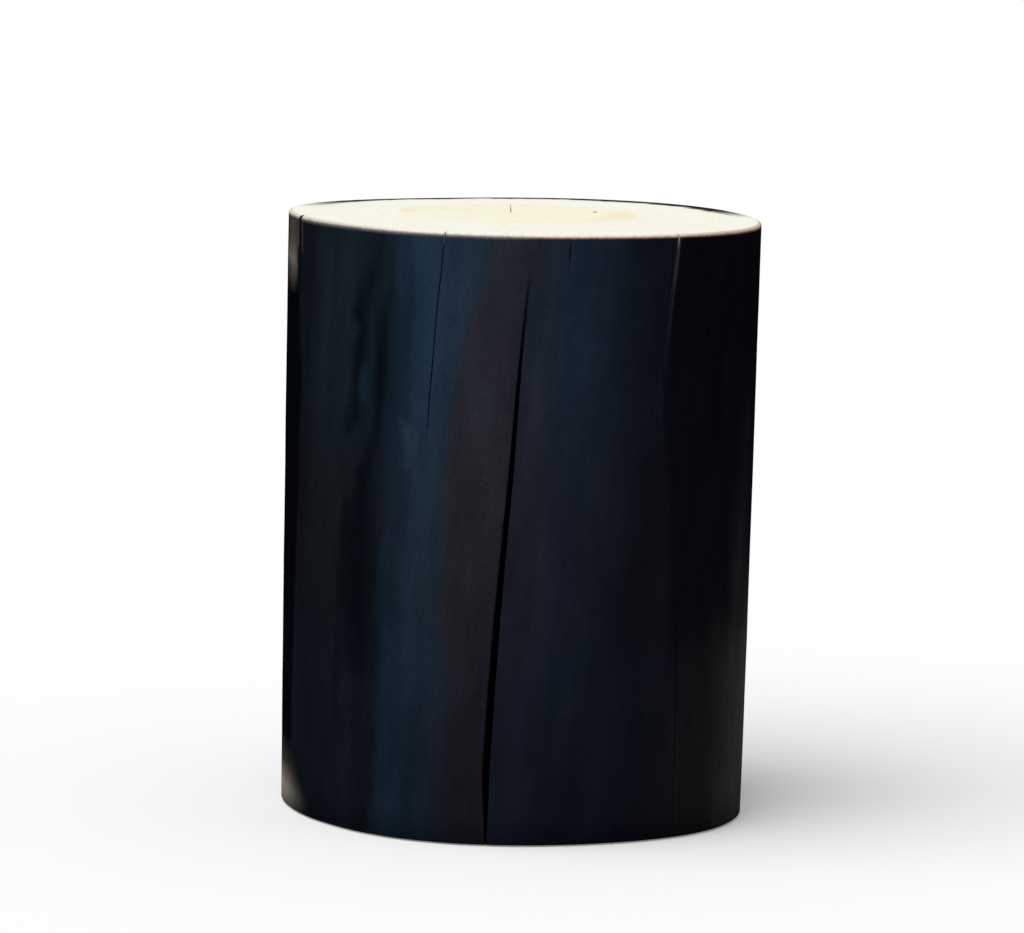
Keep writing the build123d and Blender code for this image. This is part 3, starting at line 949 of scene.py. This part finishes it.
    def mottled(self, colour):
        """Uneven density and hue, soft and wide, warmer half way up, with a faint grain, and painted shade
        at the foot.
        """
        hue = self.noise(self.short_grain, 34, 3, 0.55, 0.4)
        belt = self.product(self.fade(self.share, 0.28, 0.42), self.fade(self.share, 0.74, 0.58))
        colour = self.mix(self.fade(hue, 0.32, 0.5, 0.55, 0.0), colour, (0.86, 1.04, 1.0), "MULTIPLY")
        colour = self.mix(self.fade(hue, 0.5, 0.68, 0.0, 0.55), colour, (1.12, 0.95, 1.03), "MULTIPLY")
        colour = self.mix(belt, colour, (1.06, 0.92, 0.86), "MULTIPLY")
        return self.scaled(colour, self.product(
            self.fade(self.noise(self.long_grain, 13, 5, 0.62), 0.32, 0.68, 0.86, 1.16),
            self.fade(self.noise(self.short_grain, 48, 4, 0.6), 0.3, 0.7, 0.86, 1.14),
            self.fade(self.fibre, 0.3, 0.7, 0.96, 1.04),
            self.fade(self.thread, 0.3, 0.7, 0.97, 1.03),
            self.fade(self.fleck, 0.3, 0.7, 0.87, 1.13),
            # Painted shade: darkens the lowest band of the side, where it meets the floor
            self.fade(self.share, 0.0, 0.06, 0.66, 1.05),
        ))

    def arris(self, colour):
        """Bare wood on the worn arris, grey on the left, warm on the right, and the side's colour kept over
        it at the back.
        """
        edge = self.plus(self.swing(self.place, 300, 4, 0.7), 0.9 * MM, self.height)
        up = self.fade(edge, TOP_Z - ARRIS_REACH, TOP_Z, smooth=False)
        warm = self.rising(-9, 8)
        tone = self.mix(warm, self.ramp(up, ARRIS_GREY_TONES), self.ramp(up, ARRIS_WARM_TONES))
        tone = self.scaled(tone, self.fade(self.noise(self.fibre_grain, 420, 4), 0.3, 0.7, 0.9, 1.06))
        away = self.math("ABSOLUTE", self.minus(self.turn, 0.5))
        flank = self.fade(self.plus(self.wander, 0.06, away), 24 / 360, 60 / 360)
        tone = self.mix(flank, tone, ARRIS_SHADE, "MULTIPLY")
        start = self.fade(warm, 0.0, 1.0, 0.0, 1 - ARRIS_WARM_SHARE)
        at_back = self.fade(away, BACK_RIM_START / 360, BACK_RIM_FULL / 360)
        worn = self.product(self.fade(self.minus(up, start), 0.0, 0.2), self.minus(1.0, at_back))
        return self.mix(worn, colour, tone)


def dyed_side():
    """Indigo-black dye on the peeled side, worn through to bare wood on the arris, with painted sheen, a
    painted glint and painted shade towards the foot.
    """
    dye = Dye()
    colour = dye.bands()
    for layer in (dye.right_zones, dye.marks, dye.mottled, dye.arris):
        colour = layer(colour)
    relief = dye.plus(dye.fleck, 0.25, dye.plus(dye.thread, 0.3, dye.product(dye.fibre, 0.6)))
    return dye.finish(colour, 0.55, dye.bump(relief, 0.3 * MM, 0.7), DYE_SPECULAR)


# Dark band along the far rim of the top: where it starts and is full, round the log, and how far it reaches
BACK_RIM_START = 96.0
BACK_RIM_FULL = 122.0
FAR_RIM_DARK_REACH = 16.0 * MM
FAR_RIM_DARK_TONE = (0.016, 0.018, 0.020)

# Marks of the sawn top: place, half its width and its depth, tone and strength
PIN_MARK = (49.7 * MM, 41.0 * MM, 1.7 * MM, 8.0 * MM, (0.30, 0.26, 0.19), 0.9)
PINK_PATCH = (131.5 * MM, 84.0 * MM, 4.5 * MM, 14.0 * MM, (0.70, 0.50, 0.40), 0.9)
LEFT_PATCH = (-82.8 * MM, 18.0 * MM, 7.5 * MM, 24.0 * MM, (0.955, 0.85, 0.58), 0.85)
RIGHT_PATCH = (67.9 * MM, 20.0 * MM, 12.0 * MM, 42.0 * MM, (0.955, 0.87, 0.62), 0.7)


class EndGrain(Nodes):
    """A sawn face's material, with the places that its rings and marks are read from."""

    def __init__(self, name):
        super().__init__(name)
        self.place = self.attribute("ring_place", "Vector")
        self.flat = self.vector("MULTIPLY", self.place, (1, 1, 0))
        self.reach = self.vector("LENGTH", self.flat)
        x, self.back, _ = self.split(self.flat)
        around = self.math("ARCTAN2", self.back, x)
        along_rays = (self.math("SINE", around), self.math("COSINE", around), self.reach)
        shares = (0.4, 0.4, 0.35)
        inputs = enumerate(self.product(value, share) for value, share in zip(along_rays, shares))
        self.ray_place = self.add("ShaderNodeCombineXYZ", inputs).outputs[0]
        self.wobble = self.swing(self.flat, 14, 3, 0.5)
        self.shiver = self.swing(self.flat, 120, 3, 0.5)
        self.pores = self.noise(self.place, 1500, 3, 0.7)
        self.late = self.late_wood()
        self.hair = None

    def late_wood(self):
        """Mask of the darker late wood of each year's ring."""
        bent = self.plus(self.wobble, 5.0 * MM, self.plus(self.shiver, 0.9 * MM, self.reach))
        pace = self.add("ShaderNodeTexNoise", {"W": self.product(bent, 42.0)}, noise_dimensions="1D")
        years = self.plus(pace.outputs[0], 5.0, self.product(bent, 1 / (2.5 * MM)))
        season = self.math("FRACT", years)
        floor = self.math("FLOOR", years)
        year = self.add("ShaderNodeTexWhiteNoise", {"W": floor}, noise_dimensions="1D").outputs[0]
        return self.product(
            self.fade(season, 0.35, 0.93),
            self.fall(season, 0.95, 1.0),
            self.fade(year, 0.0, 1.0, 0.35, 1.0, False),
        )

    def wood(self):
        """Sapwood, blotched heartwood and rings."""
        blotch = self.noise(self.flat, 16, 5, 0.6)
        edge = self.plus(self.wobble, 16 * MM, self.plus(self.shiver, 3 * MM, self.reach))
        heart = self.fade(edge, 66 * MM, 88 * MM, 0.75, 0.0)
        ring = self.product(
            self.fade(edge, 56 * MM, 72 * MM),
            self.fall(edge, 76 * MM, 88 * MM),
            self.fade(self.noise(self.flat, 22, 3, 0.5), 0.42, 0.62, 0.1, 0.8),
        )
        colour = self.mix(heart, (0.992, 0.985, 0.885), (0.992, 0.965, 0.735))
        colour = self.mix(ring, colour, (0.975, 0.905, 0.66))
        colour = self.mix(self.product(self.late, 0.34), colour, (0.86, 0.76, 0.57))
        return self.mix(self.fade(blotch, 0.4, 0.75, 0.0, 0.2), colour, (0.96, 0.89, 0.71))

    def rays(self, colour):
        """Fine rays, and hairline splits that run along them."""
        fine = self.fade(self.noise(self.ray_place, 230, 2, 0.5), 0.62, 0.74, 0.0, 0.1)
        colour = self.mix(fine, colour, (0.76, 0.62, 0.44))
        off_middle = self.math("ABSOLUTE", self.swing(self.ray_place, 61, 1, 0.4))
        self.hair = self.product(
            self.fall(off_middle, 0.0, 0.006),
            self.fade(self.noise(self.ray_place, 7, 1), 0.56, 0.64),
            self.fade(self.reach, 6 * MM, 20 * MM),
        )
        return self.mix(self.product(self.hair, 0.3), colour, (0.34, 0.23, 0.14))

    def spot(self, colour, mark):
        """A soft round mark."""
        x, y, width, depth, tone, strength = mark
        away = self.vector("SUBTRACT", self.own_place(), (x, y, TOP_Z))
        away = self.vector("LENGTH", self.vector("DIVIDE", away, (width, depth, depth)))
        away = self.plus(self.shiver, 0.8, away)
        return self.mix(self.fade(away, 0.3, 1.2, strength, 0.0), colour, tone)

    def far_rim_dark_band(self, colour):
        """Dark band along the far rim, reaching into the end grain."""
        edge = TOP_RADIUS - RIM_CHAMFER
        angles = (BACK_RIM_START, BACK_RIM_FULL)
        start, full = (-TOP_RADIUS * math.cos(math.radians(angle)) for angle in angles)
        far_rim_ragged = self.swing(self.ray_place, 26, 4, 0.6)
        reached = self.math("ADD", self.reach, self.plus(self.wobble, 14 * MM, self.product(far_rim_ragged, 16 * MM)))
        far_rim_mask = self.product(
            self.fade(reached, edge - FAR_RIM_DARK_REACH * 1.35, edge - FAR_RIM_DARK_REACH * 0.65),
            self.fade(self.back, start, full),
        )
        return self.mix(far_rim_mask, colour, FAR_RIM_DARK_TONE)


def sawn_end(name, tint, grime, kerf_scale, kerf_share, specular):
    """End grain with growth rings, heartwood, fine radial splits and saw marks, bare or grimy."""
    end = EndGrain(name)
    colour = end.rays(end.wood())
    cambium = end.fade(end.reach, TOP_RADIUS - 5.5 * MM, TOP_RADIUS - 2.2 * MM, 0.0, 0.2)
    colour = end.mix(cambium, colour, (0.90, 0.81, 0.68))
    colour = end.mix(end.fade(end.pores, 0.55, 0.8, 0.0, 0.1), colour, (0.70, 0.57, 0.41))
    if grime:
        dirt = end.fade(end.noise(end.place, 9, 6, 0.65), 0.38, 0.7, 0.1, grime)
        colour = end.mix(dirt, colour, (0.10, 0.085, 0.07))
    else:
        for mark in (LEFT_PATCH, RIGHT_PATCH, PIN_MARK, PINK_PATCH):
            colour = end.spot(colour, mark)
        colour = end.far_rim_dark_band(colour)
    colour = end.mix(1.0, colour, tint, "MULTIPLY")
    inputs = {"Vector": end.place, "Scale": kerf_scale, "Distortion": 1.2}
    kerf = end.add("ShaderNodeTexWave", inputs, wave_type="BANDS", bands_direction="DIAGONAL")
    relief = end.plus(kerf.outputs["Fac"], kerf_share, end.product(end.late, 0.5))
    relief = end.minus(end.plus(end.pores, 0.25, relief), end.hair)
    roughness = end.fade(end.late, 0.0, 1.0, 0.5, 0.4)
    return end.finish(colour, roughness, end.bump(relief, 0.14 * MM, 0.7), specular)


def check_wall():
    """Torn wood inside the checks, dyed where the dye seeped in, and darker with depth as painted shade."""
    nodes = Nodes("check_wall")
    _, grain, share, _ = grain_space(nodes)
    fibres = nodes.noise(nodes.vector("MULTIPLY", grain, (1, 1, 0.06)), 700, 4, 0.6)
    raw = nodes.ramp(fibres, [(0.3, (0.36, 0.33, 0.27)), (0.7, (0.56, 0.52, 0.43))])
    split = nodes.attribute("split")
    seep = nodes.attribute("seep")
    in_side = nodes.math("GREATER_THAN", seep, 0.01)
    raw = nodes.mix(in_side, (0.85, 0.80, 0.66), raw)
    open_end = nodes.fade(share, 0.972, 0.992, 0.0, 0.3)
    dyed = nodes.minus(seep, nodes.product(in_side, open_end))
    colour = nodes.mix(dyed, raw, (0.004, 0.004, 0.006))
    # Painted shade: the walls darken deeper inside the checks and the star
    pale_depth = nodes.fade(seep, 1.0, 1.2, 0.93, 0.0)
    side_depth_shade = nodes.product(nodes.fade(split, 2 * MM, 16 * MM, 0.0, pale_depth), in_side)
    star_depth_shade = nodes.fade(split, 2 * MM, 16 * MM, 0.0, 0.3)
    colour = nodes.mix(nodes.math("MAXIMUM", side_depth_shade, star_depth_shade), colour, (0.016, 0.014, 0.014))
    return nodes.finish(colour, 0.8, nodes.bump(fibres, 0.4 * MM, 0.9), 0.02)


def glide_plastic():
    """Dark moulded plastic with a fine grained surface."""
    nodes = Nodes("glide_plastic")
    place = nodes.own_place()
    grit = nodes.noise(place, 2600, 3, 0.6)
    scuff = nodes.noise(place, 240, 5, 0.65)
    colour = nodes.ramp(scuff, [(0.3, (0.035, 0.028, 0.023)), (0.75, (0.060, 0.050, 0.042))])
    roughness = nodes.fade(grit, 0.3, 0.7, 0.42, 0.62)
    return nodes.finish(colour, roughness, nodes.bump(grit, 0.05 * MM, 0.6), 0.45)


def felt_cloth():
    """Pressed wool felt with crossing fibres."""
    nodes = Nodes("felt_cloth")
    place = nodes.own_place()
    one = nodes.noise(nodes.vector("MULTIPLY", place, (1, 0.25, 1)), 2400, 4, 0.65, 2.0)
    other = nodes.noise(nodes.vector("MULTIPLY", place, (0.25, 1, 1)), 2100, 4, 0.65, 2.5)
    fuzz = nodes.product(nodes.math("ADD", one, other), 0.5)
    tones = [(0.36, (0.085, 0.066, 0.050)), (0.5, (0.160, 0.130, 0.100)), (0.66, (0.27, 0.23, 0.19))]
    nodes.shader.inputs["Sheen Weight"].default_value = 0.25
    nodes.shader.inputs["Sheen Roughness"].default_value = 0.5
    return nodes.finish(nodes.ramp(fuzz, tones), 0.95, nodes.bump(fuzz, 0.25 * MM, 0.9), 0.15)


def screw_zinc():
    """Bright zinc plate with a mottled spangle."""
    nodes = Nodes("screw_zinc")
    spangle = nodes.noise(nodes.own_place(), 900, 4, 0.6)
    colour = nodes.ramp(spangle, [(0.3, (0.46, 0.46, 0.44)), (0.7, (0.66, 0.66, 0.63))])
    nodes.shader.inputs["Metallic"].default_value = 1.0
    roughness = nodes.fade(spangle, 0.3, 0.7, 0.28, 0.42)
    return nodes.finish(colour, roughness, nodes.bump(spangle, 0.03 * MM, 0.5), 0.5)


# The felt's profile, as shares of its radius and thickness, and its sides
FELT_PROFILE = (
    (0.0, 0.0), (0.35, 0.0), (0.7, 0.0), (0.9, 0.01), (0.965, 0.06), (0.992, 0.22),
    (0.996, 0.5), (0.985, 0.8), (0.96, 1.0), (0.6, 1.0), (0.0, 1.0),
)
FELT_SIDES = 72
FELT_FRAY_SHARE = 0.012
FELT_SHARP_ANGLE = 50


def felt_disc(name):
    """Felt disc, pressed a little barrel-shaped, its edge frayed and its foot rubbed flat."""
    low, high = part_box(f"glide_felt_{name}")
    middle = (low + high) / 2
    points, faces = [], []
    for i, (out, up) in enumerate(FELT_PROFILE):
        for j in range(FELT_SIDES if out > 0 else 1):
            turn = math.tau * j / FELT_SIDES
            x, y = math.cos(turn), math.sin(turn)
            fray = FELT_FRAY_SHARE * abs(noise.noise(Vector((x * 7, y * 7, i * 1.7 + middle.x * 90))))
            reach = (high.x - low.x) / 2 * out * (1 - fray if out > 0.9 else 1)
            points.append((middle.x + reach * x, middle.y + reach * y, low.z + (high.z - low.z) * up))
    starts = [1 + FELT_SIDES * i for i in range(len(FELT_PROFILE) - 2)]
    for j in range(FELT_SIDES):
        k = (j + 1) % FELT_SIDES
        faces.append((0, 1 + k, 1 + j))
        for a, b in zip(starts, starts[1:]):
            faces.append((a + j, a + k, b + k, b + j))
        faces.append((starts[-1] + j, starts[-1] + k, len(points) - 1))
    mesh = new_mesh(f"felt_{name}", points, faces)
    mesh.set_sharp_from_angle(angle=math.radians(FELT_SHARP_ANGLE))
    return mesh


def add_piece(name, mesh, materials, node):
    """One visible piece that stands for a CAD node."""
    piece = new_object(name, mesh)
    for material in materials:
        mesh.materials.append(material)
    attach(piece, "root")
    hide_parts(node)


# Camera, from the fit to the photograph's outline: its place, its tilts and its lens
CAMERA_DISTANCE = 3860.8 * MM
CAMERA_HEIGHT = 725.4 * MM
CAMERA_PITCH = 7.143
CAMERA_YAW = -0.070
CAMERA_ROLL = 1.452
FOCAL_PIXELS = 5500
FRAME_WIDTH_PIXELS = 1024
SENSOR_WIDTH = 36.0


def add_camera():
    """Camera at the photograph's viewing angle."""
    pitch, yaw, roll = (math.radians(a) for a in (CAMERA_PITCH, CAMERA_YAW, CAMERA_ROLL))
    ahead = Vector((math.sin(yaw) * math.cos(pitch), math.cos(yaw) * math.cos(pitch), -math.sin(pitch)))
    right = Vector((math.cos(yaw), -math.sin(yaw), 0))
    up = right.cross(ahead)
    turned_right = right * math.cos(roll) + up * math.sin(roll)
    turned_up = up * math.cos(roll) - right * math.sin(roll)
    data = bpy.data.cameras.new("camera")
    data.sensor_width = SENSOR_WIDTH
    data.lens = FOCAL_PIXELS * SENSOR_WIDTH / FRAME_WIDTH_PIXELS
    data.clip_end = 100
    camera = new_object("camera", data)
    camera.matrix_world = Matrix((
        (turned_right.x, turned_up.x, -ahead.x, 0),
        (turned_right.y, turned_up.y, -ahead.y, -CAMERA_DISTANCE),
        (turned_right.z, turned_up.z, -ahead.z, CAMERA_HEIGHT),
        (0, 0, 0, 1),
    ))
    bpy.context.scene.camera = camera


FLOOR_TONE = (0.9, 0.9, 0.9)
FLOOR_REACH = 40.0
FLOOR_LIFT = 0.14
WORLD_LIGHT = 0.42


def add_light(name, energy, angle, direction):
    """Broad, even light from one direction."""
    data = bpy.data.lights.new(name, "SUN")
    data.energy = energy
    data.angle = math.radians(angle)
    lamp = new_object(name, data)
    lamp.rotation_mode = "QUATERNION"
    lamp.rotation_quaternion = (-Vector(direction)).to_track_quat("-Z", "Y")


def add_stage():
    """Pale floor, white surroundings and soft light."""
    corners = [(x * FLOOR_REACH, y * FLOOR_REACH, 0) for x, y in ((-1, -1), (1, -1), (1, 1), (-1, 1))]
    mesh = new_mesh("floor", corners, [(0, 1, 2, 3)])
    new_object("floor", mesh)
    nodes = Nodes("floor")
    mesh.materials.append(nodes.finish((*FLOOR_TONE, 1), 0.9, None, 0.0))
    nodes.set(nodes.shader.inputs["Emission Strength"], nodes.product(nodes.seen(), FLOOR_LIFT))
    nodes.shader.inputs["Emission Color"].default_value = (1, 1, 1, 1)
    nodes = Nodes("surroundings", bpy.data.worlds.new("surroundings"))
    bpy.context.scene.world = nodes.owner
    back = nodes.tree.nodes["Background"]
    back.inputs["Color"].default_value = (1, 1, 1, 1)
    nodes.set(back.inputs["Strength"], nodes.fade(nodes.seen(), 0.0, 1.0, WORLD_LIGHT, 1.0, False))
    add_light("high_left", 1.78, 60, (-0.5, -0.35, 1.0))
    add_light("front_left", 0.5, 60, (-0.6, -1.0, 0.4))
    bpy.context.scene.view_settings.view_transform = "Standard"


add_camera()
add_stage()
log_materials = [
    dyed_side(),
    sawn_end("sawn_top", (1, 1, 1), 0, 240.0, 0.12, 0.0),
    sawn_end("sawn_base", (0.8, 0.76, 0.7), 0.5, 95.0, 0.5, 0.35),
    check_wall(),
]
add_piece("log", joined(log_mesh()), log_materials, "timber_block")
felt_material = felt_cloth()
plastic_material = glide_plastic()
for glide in GLIDE_NAMES:
    add_piece(f"felt_{glide}", felt_disc(glide), [felt_material], f"glide_felt_{glide}")
    for cup_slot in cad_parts[f"glide_cup_{glide}"].material_slots:
        cup_slot.material = plastic_material
zinc_material = screw_zinc()
for screw_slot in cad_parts["glide_screws"].material_slots:
    screw_slot.material = zinc_material
